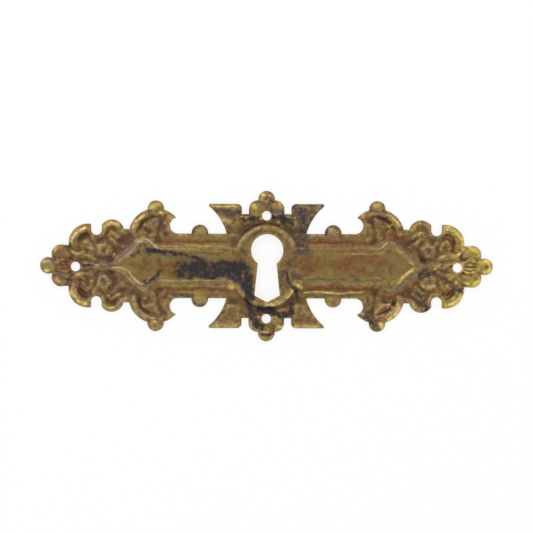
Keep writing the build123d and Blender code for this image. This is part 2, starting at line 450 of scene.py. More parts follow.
fine_reach = 0.7  # over which a hollow counts as one
broad_reach = 2.2
edge_reach = 0.9
hollowness = soft(heights, fine_reach) - heights
broad_hollowness = soft(heights, broad_reach) - heights
edge = smoothstep(1 - blurred(metal.astype(float), edge_reach), 0.08, 0.42)  # near the cut edges
# darker in the hollows: dirt, and painted shade as well
grime_and_shade = smoothstep(hollowness, 0.0, 0.14) * 0.75 + smoothstep(broad_hollowness, 0.1, 0.5) * 0.35
grime_and_shade *= (1 - 0.6 * plain) * (1 - edge)
# lighter on the crests: wear, and painted highlight as well
wear_and_highlight = smoothstep(-hollowness, 0.03, 0.2) * (0.8 - 0.45 * plain) * (0.7 + 0.6 * cloud(4.0))
gilt = smoothstep(X + 3 * cloud(6.0), 39, 51)  # the right end, which is the cleanest
wear_and_highlight *= 1 - 0.7 * gilt

# strokes of polish with painted highlight, grey film with painted sheen, dark patches with painted shade,
# stain and tarnish, each where the photographed plate has it:
# path, width, strength

# polished spots, lighter still as painted highlights
polish_and_highlight_strokes = [
    # arrow and bar
    (curve((33.0, -4.3), (34.6, -2.6), (36.0, -1.4), (37.0, -1.0)), 0.8, 1.0),
    (curve((33.2, 4.1), (33.9, 3.5)), 0.9, 0.9),
    (curve((36.2, 1.0), (37.2, 0.4)), 0.8, 0.5),
    (curve((28.9, 4.4), (29.4, 5.2), (30.3, 5.9)), 0.6, 0.4),
    (curve((18.0, 3.1), (23.0, 3.2), (27.5, 3.2), (30.2, 3.5)), 0.6, 0.35),
    (curve((21.9, 3.1), (22.4, 3.1)), 0.9, 0.8),
    (curve((9.6, -6.6), (12.6, -6.4), (15.0, -6.6), (18.4, -6.9), (21.6, -6.6), (24.5, -6.5)), 0.6, 0.8),
    (curve((-38.9, -0.5), (-37.1, -0.4), (-35.5, -0.9), (-34.2, -2.2), (-32.6, -4.0), (-31.4, -4.7)),
     0.7, 0.9),
    (curve((-32.6, 6.0), (-30.8, 6.7), (-29.4, 6.1), (-28.5, 5.0), (-27.6, 4.3)), 0.7, 0.8),
    (curve((-27.6, 4.1), (-20.0, 3.95), (-11.0, 3.7)), 0.5, 0.3),
    (curve((-26.4, 4.95), (-18.0, 4.9), (-10.6, 4.8)), 0.5, 0.35),
    (curve((-26.4, -5.0), (-18.0, -5.1), (-10.6, -5.0)), 0.5, 0.25),
    (curve((-36.4, -0.3), (-34.4, -0.6), (-33.0, -1.6)), 2.2, 0.22),
    (curve((-27.0, -3.6), (-19.0, -3.7), (-10.0, -3.6)), 0.5, 0.4),
    # boss
    (curve((0.1, -9.9), (1.7, -9.8), (3.5, -9.4), (5.2, -8.4), (6.6, -6.3)), 1.1, 1.0),
    (curve((2.6, -11.4), (4.4, -10.8)), 0.5, 0.7),
    (curve((8.0, -4.9), (8.7, -5.4)), 1.3, 0.9),
    (curve((-8.6, -4.7), (-6.9, -6.5), (-5.6, -8.4)), 0.7, 0.8),
    (curve((-9.4, -5.2), (-8.7, -5.5)), 1.4, 0.9),
    (curve((-1.3, 12.4), (-1.4, 11.8)), 0.8, 1.0),
    (curve((2.6, 11.3), (3.1, 11.1)), 1.0, 0.6),
    (curve((3.6, 10.0), (6.0, 8.0)), 1.2, 0.4),
    # fins and the rims between them and the trefoils
    (curve((-11.0, 11.6), (-9.4, 11.2)), 1.8, 0.6),
    (curve((-13.8, 15.2), (-7.4, 15.1)), 1.3, 0.45),
    (curve((10.4, 14.5), (12.2, 14.3)), 1.4, 0.2),
    (curve((-13.8, -15.2), (-7.6, -15.1)), 1.2, 0.35),
    (curve((7.2, -15.2), (13.0, -15.2)), 1.2, 0.45),
    (curve((-6.4, 12.3), (-4.0, 12.2)), 0.8, 0.6),
    (curve((4.5, 12.5), (7.2, 12.3)), 0.8, 0.6),
    # trefoils
    (curve((-1.2, 17.8), (-1.3, 16.8)), 1.2, 0.7),
    (curve((0.6, 17.9), (0.8, 17.8)), 0.8, 0.7),
    (curve((-3.0, 15.4), (-2.8, 14.8)), 1.5, 0.8),
    (curve((3.3, 15.4), (3.5, 14.9)), 1.6, 0.9),
    (curve((3.0, -15.2), (4.0, -15.4)), 1.3, 0.9),
    (curve((-1.8, -16.2), (0.4, -16.5)), 1.1, 0.7),
    (curve((-3.9, -14.2), (-3.8, -15.2)), 1.0, 0.5),
    # shoulders and finials
    (curve((27.2, -12.2), (28.1, -10.8), (29.4, -9.7), (31.2, -9.8), (31.7, -10.4), (31.0, -11.5),
           (29.0, -12.4), (27.4, -12.5)), 0.9, 0.6),
    (curve((31.0, -13.2), (32.6, -12.0), (33.6, -10.4)), 1.7, 1.0),
    (curve((31.2, 12.6), (32.8, 11.3), (33.6, 10.2)), 1.2, 0.8),
    (curve((30.9, 10.2), (31.6, 10.4)), 0.9, 0.8),
    (curve((-31.2, 12.6), (-32.8, 11.3), (-33.8, 9.6)), 1.4, 0.7),
    (curve((-29.3, 14.8), (-27.4, 15.4)), 1.8, 0.9),
    (curve((-26.9, 13.7), (-26.3, 13.4)), 1.2, 0.7),
    (curve((27.3, 15.2), (28.2, 15.4)), 1.6, 0.7),
    (curve((28.9, -14.5), (29.5, -15.2)), 1.8, 1.0),
    (curve((-28.8, -14.0), (-27.8, -14.4)), 1.4, 0.5),
    (curve((23.2, -11.3), (24.2, -11.9)), 1.0, 0.5),
    (curve((-23.2, 11.3), (-24.2, 11.9)), 1.0, 0.5),
    # lobes and volutes
    (curve((-40.8, 10.0), (-39.0, 10.7), (-37.6, 10.0)), 1.5, 0.7),
    (curve((38.2, 7.9), (39.1, 8.6), (39.8, 8.2)), 0.7, 0.7),
    (curve((39.4, 4.3), (40.5, 5.0), (41.8, 4.8)), 0.7, 0.5),
    (curve((39.2, -4.8), (40.5, -5.4), (42.3, -4.8)), 0.8, 0.6),
    (curve((-38.6, -10.4), (-40.0, -10.8), (-41.0, -10.0)), 1.0, 0.6),
    (curve((-38.4, 2.9), (-38.7, 2.2)), 1.0, 0.6),
    # crescents
    (curve((45.2, 9.8), (47.7, 8.7), (49.4, 6.4), (49.7, 4.4)), 1.6, 0.8),
    (curve((46.2, -9.6), (48.2, -8.5), (49.6, -6.4)), 1.6, 1.0),
    (curve((-46.0, 9.4), (-48.2, 8.0), (-49.4, 6.2)), 1.6, 1.0),
    (curve((-45.4, -9.8), (-47.6, -8.8), (-49.2, -6.8)), 1.6, 1.0),
    (curve((46.6, 3.2), (47.7, 2.7), (48.8, 3.4)), 1.1, 0.7),
    (curve((-47.2, 3.3), (-48.1, 3.0), (-49.0, 3.5)), 1.2, 0.5),
    (curve((-45.2, 6.0), (-46.6, 6.1)), 1.1, 0.7),
    (curve((-45.3, 4.8), (-44.0, 4.4)), 1.3, 0.6),
    (curve((-48.6, 3.2), (-47.2, 3.0)), 1.0, 0.5),
    (curve((-47.6, -2.2), (-46.6, -1.9)), 1.2, 0.6),
    # ends
    (curve((52.3, 4.2), (53.0, 3.7)), 1.8, 1.0),
    (curve((52.5, -4.2), (53.1, -3.8)), 1.6, 1.0),
    (curve((50.3, -4.4), (50.8, -4.5)), 1.2, 0.8),
    (curve((49.7, 0.35), (51.5, 0.45), (53.4, 0.3)), 0.6, 0.7),
    (curve((49.7, -0.4), (51.5, -0.5), (53.4, -0.4)), 0.6, 0.7),
    (curve((49.4, 1.0), (51.2, 1.45), (53.2, 0.9)), 0.6, 0.7),
    (curve((49.4, -1.1), (51.2, -1.5), (53.2, -1.0)), 0.6, 0.7),
    (curve((49.4, -2.4), (51.2, -2.8)), 0.7, 0.5),
    (curve((42.4, -0.6), (43.4, 0.0), (44.0, 0.6)), 0.9, 0.6),
    (curve((55.0, 1.4), (56.0, 1.1)), 1.5, 1.0),
    (curve((55.3, -1.4), (56.3, -1.1)), 1.8, 1.0),
    (curve((-53.5, 4.4), (-53.2, 3.8)), 1.3, 0.9),
    (curve((-55.8, -1.3), (-55.2, -1.4)), 1.3, 1.0),
    (curve((-56.6, 0.6), (-56.0, 1.0)), 1.4, 0.6),
    (curve((-53.0, -3.4), (-52.4, -4.0)), 1.3, 0.8),
    (curve((-54.0, 2.0), (-53.5, 0.8), (-52.6, 0.7), (-51.3, 1.5)), 0.5, 0.4),
]

# grey film on the outer slopes, partly painted sheen
film_and_sheen_strokes = [
    (curve((31.5, -6.6), (33.7, -5.5), (35.5, -3.8), (37.3, -2.1), (39.6, -1.3)), 2.1, 1.1),
    (curve((-38.9, -0.9), (-36.2, -1.9), (-33.9, -3.8), (-31.9, -5.6), (-29.9, -6.1)), 1.9, 0.9),
    (curve((-37.5, 1.6), (-35.3, 3.4), (-33.0, 5.7), (-31.2, 6.6), (-29.4, 6.2), (-28.1, 5.0)), 2.4, 1.0),
    (curve((29.4, 5.8), (31.2, 6.4), (33.0, 5.6), (36.0, 2.6), (38.0, 1.1)), 1.6, 0.5),
    (curve((-27.0, -3.4), (-18.0, -3.5), (-10.0, -3.4)), 1.2, 0.35),
    (curve((9.0, -3.8), (18.0, -3.8), (30.0, -4.4)), 1.3, 0.35),
    (curve((10.0, 4.0), (18.0, 4.1), (28.0, 4.2)), 1.4, 0.4),
    (curve((16.4, -4.7), (18.2, -4.8)), 0.8, 0.4),
    (curve((-10.4, 4.4), (-9.6, 4.4)), 1.0, 0.8),
    (curve((-43.4, 4.0), (-42.8, 1.4)), 1.8, 0.6),
    (curve((-43.6, -0.8), (-42.4, -2.4), (-41.4, -5.0)), 1.4, 0.7),
    (curve((38.5, -5.4), (42.0, -5.2)), 1.8, 0.5),
    (curve((-5.2, -1.2), (-4.4, -3.4)), 1.4, 0.5),
    (curve((8.4, 12.6), (9.0, 10.8)), 1.2, 0.6),
    (curve((-36.0, -8.0), (-34.4, -7.6)), 1.4, 0.6),
    (curve((44.6, 2.2), (45.6, 1.2)), 1.2, 0.5),
    (curve((7.6, 14.4), (9.6, 12.4), (10.4, 9.6)), 2.6, 0.6),
    (curve((-26.0, 2.4), (-14.0, 2.3)), 1.6, 0.4),
]

# dark purple-brown patches, partly tarnish and partly painted shade
dark_and_shade_strokes = [
    # left end
    (curve((-34.6, 7.4), (-36.4, 6.0), (-37.8, 4.2)), 3.8, 0.9),
    (curve((-41.8, 1.9), (-40.0, 1.5), (-38.6, 2.2)), 2.4, 0.9),
    (curve((-42.6, -1.8), (-41.6, -4.2)), 2.4, 0.7),
    (curve((-39.6, -5.6), (-38.0, -3.6)), 2.2, 0.9),
    (curve((-46.4, -4.8), (-47.0, -7.0), (-45.0, -8.0)), 2.2, 0.8),
    (curve((-45.6, 8.0), (-47.8, 6.4)), 1.8, 0.9),
    (curve((-37.6, -5.0), (-35.2, -6.4), (-33.4, -7.2)), 2.0, 0.7),
    (curve((-30.4, -9.2), (-29.0, -11.6)), 2.8, 0.7),
    (curve((-32.4, -10.6), (-30.9, -12.4)), 1.0, 0.9),
    (curve((-31.4, 11.6), (-30.4, 9.6), (-29.0, 8.8)), 2.6, 0.7),
    (curve((-28.6, 11.8), (-26.4, 10.4), (-25.6, 8.6)), 2.8, 0.7),
    (curve((-29.2, 14.0), (-26.6, 14.1)), 0.9, 0.8),
    (curve((-52.9, 2.0), (-52.0, 1.7)), 1.3, 0.9),
    (curve((-51.3, 4.6), (-50.8, 3.2)), 1.2, 0.7),
    (curve((-52.4, -1.6), (-51.2, -2.8), (-49.8, -3.2), (-48.6, -2.8)), 1.9, 1.0),
    (curve((-51.8, 0.9), (-51.1, 0.6)), 1.4, 0.8),
    (curve((-52.4, 3.2), (-51.4, 2.6)), 2.0, 0.5),
    (curve((-44.2, 0.3), (-41.6, 0.2), (-39.2, 0.4)), 2.2, 0.8),
    (curve((-46.6, 0.1), (-44.0, 0.0)), 2.4, 0.7),
    (curve((-54.7, 1.6), (-54.0, 0.7)), 1.0, 0.8),
    (curve((-43.8, 6.4), (-41.0, 5.4)), 2.2, 0.5),
    # left of the middle
    (curve((-33.8, 2.8), (-32.4, 4.2), (-31.6, 5.2)), 1.4, 0.8),
    (curve((-30.8, 5.4), (-29.8, 3.8)), 1.4, 0.8),
    (curve((-29.6, 3.5), (-24.0, 2.8), (-15.5, 1.6)), 2.0, 0.7),
    (curve((-31.2, -4.2), (-28.8, -3.3), (-26.4, -1.2)), 1.7, 0.7),
    (curve((-26.0, 3.2), (-18.0, 3.15), (-10.8, 3.1)), 0.7, 0.45),
    (curve((-27.0, -4.4), (-18.0, -4.5), (-10.4, -4.4)), 0.6, 0.45),
    (curve((-12.6, 14.2), (-9.5, 13.3), (-7.0, 13.0)), 2.2, 0.9),
    (curve((-10.4, 12.8), (-9.4, 10.2)), 1.8, 0.6),
    (curve((-6.0, 3.9), (-5.4, 3.1)), 1.6, 0.9),
    (curve((-13.6, 6.3), (-12.6, 6.2)), 1.1, 0.8),
    (curve((-27.0, 4.5), (-18.0, 4.4), (-11.0, 4.25)), 0.6, 0.4),
    (curve((-13.6, 15.0), (-11.8, 14.6)), 1.4, 0.5),
    (curve((-13.6, -15.0), (-11.4, -14.2)), 1.8, 0.5),
    (curve((-52.4, -4.8), (-50.8, -5.0)), 1.4, 0.5),
    (curve((-24.4, -7.3), (-21.0, -7.5), (-18.8, -7.5)), 1.1, 0.8),
    (curve((-13.8, -14.6), (-11.8, -13.0), (-10.4, -11.2)), 1.0, 0.8),
    (arc(-16.83, 8.5, 1.75, 20, 200), 1.4, 0.7),
    (curve((-18.2, -9.2), (-16.8, -9.9), (-15.6, -9.4)), 1.2, 0.8),
    (arc(0, 0, 10.6, 95, 140), 1.6, 0.6),
    # right of the middle
    (curve((7.2, 14.9), (8.8, 13.4), (9.6, 10.8), (9.2, 7.6), (8.8, 4.2)), 5.2, 1.0),
    (curve((6.9, 15.3), (11.4, 15.3)), 1.2, 0.8),
    (curve((12.8, 15.1), (14.4, 15.1)), 1.4, 0.8),
    (curve((1.7, 14.0), (3.4, 13.2), (4.4, 12.4)), 2.2, 0.9),
    (arc(0, 0, 10.4, 35, 75), 1.7, 0.8),
    (curve((8.4, 2.6), (6.0, 0.4), (6.2, -1.6), (8.6, -3.2)), 1.6, 0.5),
    (curve((3.5, -2.0), (3.9, -6.6)), 1.2, 0.8),
    (arc(16.83, 8.5, 1.75, -10, 190), 2.2, 0.8),
    (curve((10.3, 7.1), (15.0, 6.8)), 1.1, 0.6),
    (curve((10.0, -7.4), (16.0, -7.5), (24.0, -7.5)), 1.0, 0.6),
    (curve((11.2, -12.6), (12.6, -14.4)), 1.4, 0.6),
    (curve((14.0, 15.2), (11.6, 13.8), (10.2, 11.4)), 3.6, 0.8),
    (curve((9.0, -3.5), (18.0, -3.5), (29.0, -3.7)), 0.8, 0.6),
    (curve((16.2, -4.8), (18.4, -4.8)), 0.9, 0.8),
    (curve((28.6, 7.4), (30.4, 7.8), (31.8, 7.4)), 1.6, 0.6),
    # right end
    (curve((32.0, 0.4), (31.5, -0.9), (31.6, -2.2)), 1.0, 0.5),
    (curve((25.2, 11.4), (26.8, 11.0)), 1.4, 0.7),
    (curve((32.8, 7.2), (34.6, 5.2)), 1.4, 0.6),
    (curve((38.6, 4.2), (38.6, 2.8), (39.6, 1.6)), 1.4, 0.8),
    (curve((34.0, 9.2), (33.2, 8.0)), 1.2, 0.6),
    (curve((40.6, 7.0), (42.6, 6.6), (44.4, 7.4)), 1.4, 0.6),
    (curve((44.0, -2.2), (45.2, -3.4)), 2.0, 0.8),
    (curve((46.0, -4.0), (48.0, -5.2), (49.2, -6.6)), 1.8, 0.9),
    (curve((38.6, -7.8), (39.6, -9.6), (40.4, -11.0)), 3.4, 0.9),
    (curve((24.4, -12.2), (26.4, -13.0), (27.8, -15.4)), 3.2, 0.9),
    (curve((28.6, -11.4), (30.4, -10.8)), 1.4, 0.6),
    (curve((49.8, 0.0), (51.4, 0.0), (53.2, 0.0)), 0.5, 0.8),
    (curve((49.8, 0.75), (51.4, 1.0), (53.0, 0.65)), 0.5, 0.7),
    (curve((49.8, -0.75), (51.4, -1.0), (53.0, -0.65)), 0.5, 0.7),
    (curve((39.8, -0.2), (42.2, -0.3)), 1.5, 0.7),
    (curve((44.4, -0.4), (46.4, 0.0)), 1.4, 0.6),
    (curve((49.3, -3.4), (50.4, -3.8)), 1.0, 0.7),
]

stain_strokes = [
    (curve((-20.8, -1.0), (-17.0, -0.7), (-11.0, -0.8), (-6.4, -0.7)), 6.6, 1.1),
    (curve((-21.0, -2.4), (-14.0, -2.8), (-8.5, -2.8)), 1.6, 0.9),
    (curve((-7.6, 0.0), (-5.6, -1.6), (-4.4, -4.0), (-4.0, -6.6), (-4.6, -8.6)), 3.4, 1.0),
    (curve((-8.4, -2.4), (-6.8, -4.0), (-5.2, -6.0), (-4.6, -8.0)), 2.8, 0.9),
    (curve((-4.7, -8.2), (-4.0, -11.0), (-2.8, -14.4), (-1.4, -15.2)), 3.0, 0.95),
    (curve((-29.3, 3.5), (-26.8, 3.2), (-23.0, 2.8), (-18.0, 2.1), (-15.0, 1.2)), 1.3, 0.85),
    (curve((-30.8, -4.0), (-28.7, -3.2), (-26.5, -1.3)), 1.2, 0.9),
    (curve((-32.2, 3.6), (-31.8, 4.6)), 1.0, 0.6),
    (curve((-30.0, 4.4), (-28.6, 3.6)), 1.5, 0.9),
    (curve((-5.6, 11.2), (-3.6, 11.9)), 1.9, 1.0),
    (curve((1.8, 12.6), (4.2, 12.0), (6.6, 10.9)), 1.9, 1.0),
    (curve((8.6, 13.6), (9.4, 11.0), (9.2, 7.4), (8.9, 5.0)), 2.2, 0.5),
    (curve((4.2, -1.4), (5.6, -3.6), (6.9, -5.4)), 1.1, 0.9),
    (curve((7.4, -5.2), (7.7, -8.8)), 1.5, 0.9),
    (curve((-1.4, -10.9), (1.0, -11.1), (3.0, -12.0), (4.8, -12.9)), 3.0, 0.95),
    (curve((6.4, -10.0), (5.8, -12.6)), 2.6, 0.9),
    (curve((-1.4, -17.2), (1.8, -17.2)), 1.3, 0.9),
    (curve((1.4, -16.2), (2.2, -16.6)), 1.2, 0.7),
    (curve((28.4, 12.6), (30.2, 12.2)), 1.2, 0.8),
    (curve((25.6, -12.4), (27.2, -14.6)), 2.0, 0.7),
    (curve((39.2, -9.4), (40.4, -10.6)), 1.8, 0.7),
    (curve((38.8, -2.2), (40.8, -1.9)), 2.1, 0.75),
    (curve((39.5, 1.5), (40.3, 1.3)), 1.4, 0.9),
    (curve((46.0, 0.2), (46.8, 0.2)), 1.1, 0.9),
    (curve((48.4, -5.6), (49.4, -6.8)), 1.0, 0.8),
    (curve((-46.2, 0.1), (-44.0, 0.0)), 1.3, 0.9),
    (curve((-50.0, -3.0), (-49.0, -3.6)), 1.4, 0.6),
    (curve((0.7, 17.1), (0.9, 16.5)), 1.3, 0.8),
    (curve((55.6, 0.1), (55.7, 0.1)), 1.2, 1.0),
    (curve((-7.6, 13.2), (-7.0, 13.1)), 1.2, 0.7),
]

tarnish_strokes = [
    (curve((9.6, 0.2), (11.6, 0.1), (13.8, 0.5)), 5.2, 0.6),
    (curve((16.6, 0.6), (18.4, 0.0), (20.6, 0.6)), 5.0, 0.75),
    (curve((21.4, 1.6), (24.0, 1.3), (27.0, 1.7)), 3.8, 0.65),
    (curve((22.8, -1.2), (26.0, -1.6)), 2.0, 0.7),
    (curve((29.8, 8.0), (30.4, 6.9)), 1.4, 0.9),
    (curve((10.0, 4.3), (18.0, 4.4), (28.0, 4.3)), 2.2, 0.35),
    (curve((10.0, -4.9), (18.0, -5.0), (27.0, -5.0)), 1.6, 0.35),
    (curve((-50.7, 0.0), (-49.4, -0.8)), 1.6, 0.7),
    (curve((8.2, -8.2), (9.4, -9.0)), 1.8, 0.6),
    (curve((-27.0, 1.0), (-24.5, -0.6), (-22.0, 1.2)), 3.0, 0.9),
    (curve((-27.0, -1.2), (-24.4, -2.0), (-21.8, -1.8)), 2.4, 0.7),
    (curve((24.6, -6.6), (28.0, -7.0), (31.0, -6.8)), 2.0, 0.8),
    (curve((29.0, 11.0), (31.0, 9.4)), 2.2, 0.7),
    (curve((44.8, 6.8), (46.8, 5.6), (46.6, 3.8)), 2.4, 0.8),
    (curve((44.8, -6.8), (46.6, -5.6)), 2.4, 0.7),
    (curve((-31.0, 10.8), (-29.0, 9.2)), 2.2, 0.6),
    (curve((-47.0, 6.4), (-45.2, 4.2)), 2.4, 0.7),
    (curve((-52.2, 4.0), (-50.4, 3.4)), 1.8, 0.7),
    (curve((49.6, 1.8), (50.9, 2.05), (52.5, 1.6)), 0.9, 1.0),
    (curve((49.6, -1.9), (50.9, -2.1), (52.5, -1.7)), 0.9, 1.0),
    (curve((10.5, 5.9), (17.0, 5.9), (27.0, 5.9)), 1.4, 0.9),
    (curve((10.5, -5.6), (17.0, -5.6), (27.0, -5.6)), 1.7, 1.0),
    (curve((-10.5, 5.9), (-17.0, 5.9), (-27.0, 5.9)), 1.2, 0.45),
    (curve((-10.5, -6.1), (-17.0, -6.1), (-27.0, -6.1)), 1.4, 0.6),
    (curve((-34.0, 8.0), (-36.5, 6.0), (-38.0, 3.5)), 3.2, 0.55),
    (curve((30.0, 8.6), (34.0, 7.0), (37.5, 3.2)), 1.8, 0.8),
    (curve((29.0, -9.0), (33.0, -7.6), (37.0, -4.2)), 1.8, 0.8),
    (curve((-52.5, 1.8), (-50.5, -1.8)), 3.0, 0.5),
    (curve((-47.5, -7.0), (-45.5, -5.4)), 2.6, 0.7),
]

rag_x = 0.5 * cloud(1.6) + 0.25 * cloud(0.6)
rag_y = 0.5 * cloud(1.6) + 0.25 * cloud(0.6)


def painted(strokes, rag, core):
    """Mask of a few strokes over the whole plate, more or less ragged, each even over its core."""
    mask = np.zeros(X.shape)
    for path, width, strength in strokes:
        near = nearness(path, width, X + rag * rag_x, Y + rag * rag_y)
        mask = np.maximum(mask, strength * smoothstep(near, 0.0, 1 - core))
    return mask


masks = {
    "grime_and_shade": np.clip(grime_and_shade, 0, 1),
    "wear_and_highlight": np.clip(wear_and_highlight, 0, 1),
    "polish_highlight": painted(polish_and_highlight_strokes, rag=0.3, core=0),
    "edge": edge * (1 - 0.4 * plain),
    "film_sheen": painted(film_and_sheen_strokes, rag=0.5, core=0),
    "dark_and_shade": painted(dark_and_shade_strokes, rag=1.0, core=0.3),
    "stain": painted(stain_strokes, rag=0.9, core=0.25),
    "tarnish": painted(tarnish_strokes, rag=1.2, core=0.15),
    "gilt": gilt,
    "plain": plain,
}
front_only = ("wear_and_highlight", "polish_highlight", "film_sheen", "dark_and_shade", "stain", "gilt")  # what the hidden back doesn't share


# the mesh

def staggered(step):
    """Points in offset rows over the whole grid."""
    rows = np.arange(grid_y[0], grid_y[-1], step * cos(radians(30)))
    points = []
    for i, y in enumerate(rows):
        xs = np.arange(grid_x[0] + (i % 2) * step / 2, grid_x[-1], step)
        points.append(np.stack([xs, np.full(xs.shape, y)], axis=1))
    return np.concatenate(points)


def edge_distance(points, rim):
    """Distance of each point from the nearest point of the rim."""
    tree = KDTree(len(rim))
    for i, (x, y) in enumerate(rim):
        tree.insert((x, y, 0), i)
    tree.balance()
    return np.array([tree.find((x, y, 0))[2] for x, y in points])


def inside(points, loops):
    """Which points have metal round them, by counting the rims to the right of each."""
    crossings = np.zeros(len(points), int)
    for loop in loops:
        for (x0, y0), (x1, y1) in zip(loop, np.roll(loop, -1, axis=0)):
            level = (y0 > points[:, 1]) != (y1 > points[:, 1])
            if level.any():
                crossings += level & (points[:, 0] < x0 + (points[:, 1] - y0) * (x1 - x0) / (y1 - y0))
    return crossings % 2 == 1


def filled(rim_list, step):
    """Flat triangles inside the rims: points with the rim's first, and triangles."""
    rim = np.concatenate(rim_list)
    inner = staggered(step)
    inner = inner[sampled(metal.astype(float), inner) > 0.5]
    inner = inner[edge_distance(inner, rim) > rim_clearance * step]
    inner = inner[inside(inner, rim_list)]
    edges = []
    for loop in rim_list:
        first = len(edges)
        edges += [(first + i, first + (i + 1) % len(loop)) for i in range(len(loop))]
    points = np.concatenate([rim, inner])
    faces = np.array(delaunay_2d_cdt([Vector(p) for p in points], edges, [], 1, 1e-6)[2])
    bridging = np.flatnonzero((faces < len(rim)).all(axis=1))
    open_air = ~inside(points[faces[bridging]].mean(axis=1), rim_list)
    return points, np.delete(faces, bridging[open_air], axis=0)


def front_height(points, rim):
    """Height of the front, rolled over at the cut edge."""
    inset = np.clip(edge_distance(points, rim) / edge_roll, 0, 1)
    roll = edge_roll * (1 - np.sqrt(1 - (1 - inset) ** 2))
    return np.maximum(sampled(heights, points) - roll_share * roll, least_edge)


def back_height(points, rim):
    """Height of the back, which pressing has hollowed behind the relief, flat along the edge."""
    hollow = np.maximum(sampled(soft(heights, back_soften), points) - sheet - back_slack, 0)
    return hollow * smoothstep(edge_distance(points, rim), *back_flat)


def plate_object():
    """The pressed plate: front, back and the cut edge between them."""
    rim_list = [divided(loop, front_step) for loop in rims]
    rim = np.concatenate(rim_list)
    front, front_faces = filled(rim_list, front_step)
    back, back_faces = filled(rim_list, back_step)
    front_z = front_height(front, rim)
    back_z = back_height(back, rim)
    back_z = np.minimum(back_z, sampled(heights, back) - sheet * thinnest)
    back_z[:len(rim)] = 0
    corners = np.concatenate([np.column_stack([front, front_z]), np.column_stack([back, back_z])])
    offset = len(front)
    faces = front_faces.tolist() + (back_faces[:, ::-1] + offset).tolist()
    first = 0
    for loop in rim_list:
        for i in range(len(loop)):
            here = first + i
            there = first + (i + 1) % len(loop)
            faces.append((here, here + offset, there + offset, there))
        first += len(loop)
    mesh = bpy.data.meshes.new("pressed_plate")
    mesh.from_pydata((corners * MM).tolist(), [], faces)
    mesh.validate()
    mesh.shade_smooth()
    mesh.set_sharp_from_angle(angle=radians(crease))
    for name, mask in masks.items():
        values = sampled(mask, corners[:, :2])
        if name in front_only:
            values[offset:] = 0
        attribute = mesh.attributes.new(name, "FLOAT", "POINT")
        attribute.data.foreach_set("value", values.astype(np.float32))
    plate = bpy.data.objects.new("pressed_plate", mesh)
    bpy.context.scene.collection.objects.link(plate)
    return plate


# materials

class Nodes:
    """Short way to write a node tree."""

    def __init__(self, tree):
        self.tree = tree
        tree.nodes.clear()

    def add(self, kind, settings=None, **inputs):
        node = self.tree.nodes.new(kind)
        for name, value in (settings or {}).items():
            setattr(node, name, value)
        for name, value in inputs.items():
            self.set(node, name.replace("_", " "), value)
        return node

    def set(self, node, name, value):
        socket = node.inputs[int(name)] if name.isdigit() else node.inputs[name]
        if isinstance(value, bpy.types.NodeSocket):
            self.tree.links.new(value, socket)
        else:
            socket.default_value = value

    def mix(self, factor, first, second):
        """Colour between two others."""
        node = self.tree.nodes.new("ShaderNodeMix")
        node.data_type = "RGBA"
        for index, value in ((0, factor), (6, first), (7, second)):
            if isinstance(value, bpy.types.NodeSocket):
                self.tree.links.new(value, node.inputs[index])
            else:
                node.inputs[index].default_value = value
        return node.outputs[2]

    def maths(self, operation, *values, clamp=False):
        node = self.tree.nodes.new("ShaderNodeMath")
        node.operation = operation
        node.use_clamp = clamp
        for i, value in enumerate(values):
            self.set(node, str(i), value)
        return node.outputs[0]

    def spread(self, value, start, end, low, high):
        """A value mapped smoothly from one range to another."""
        node = self.add("ShaderNodeMapRange", {"interpolation_type": "SMOOTHSTEP"})
        for i, setting in enumerate((value, start, end, low, high)):
            self.set(node, str(i), setting)
        return node.outputs[0]

    def noise(self, coords, scale, detail, roughness=0.55):
        node = self.add("ShaderNodeTexNoise", Vector=coords, Scale=scale, Detail=detail, Roughness=roughness)
        return node.outputs["Fac"]

    def mask(self, name):
        return self.add("ShaderNodeAttribute", {"attribute_name": name}).outputs["Fac"]


# old brass

cloud_scale = 110  # of the noise, per metre
blotch_scale = 300
mottle_scale = 900
grain_scale = 3200
pitting = 0.5  # strength of the finest bumps
pit_depth = 0.0002
polish_gloss = 0.12  # how much less rough the polished places are
patina = (0.252, 0.148, 0.062, 1)
olive = (0.254, 0.184, 0.056, 1)
umber = (0.136, 0.069, 0.042, 1)
yellow_brass = (0.42, 0.30, 0.105, 1)
# tan of the worn crests, partly painted highlight
tan_wear_highlight = (0.47, 0.355, 0.195, 1)
# polished brass, lighter as a painted highlight
bright_highlight_brass = (0.82, 0.62, 0.19, 1)
gilt_brass = (0.68, 0.53, 0.080, 1)
# grey film, partly a painted sheen
grey_film_sheen = (0.285, 0.240, 0.212, 1)
# purple-brown of the dark patches, partly painted shade
purple_dark_and_shade = (0.088, 0.063, 0.060, 1)
red_tarnish = (0.190, 0.070, 0.028, 1)
# dark brown of the dirt in the hollows, partly painted shade
dirt_and_shade = (0.064, 0.042, 0.031, 1)
blue_black = (0.029, 0.027, 0.034, 1)


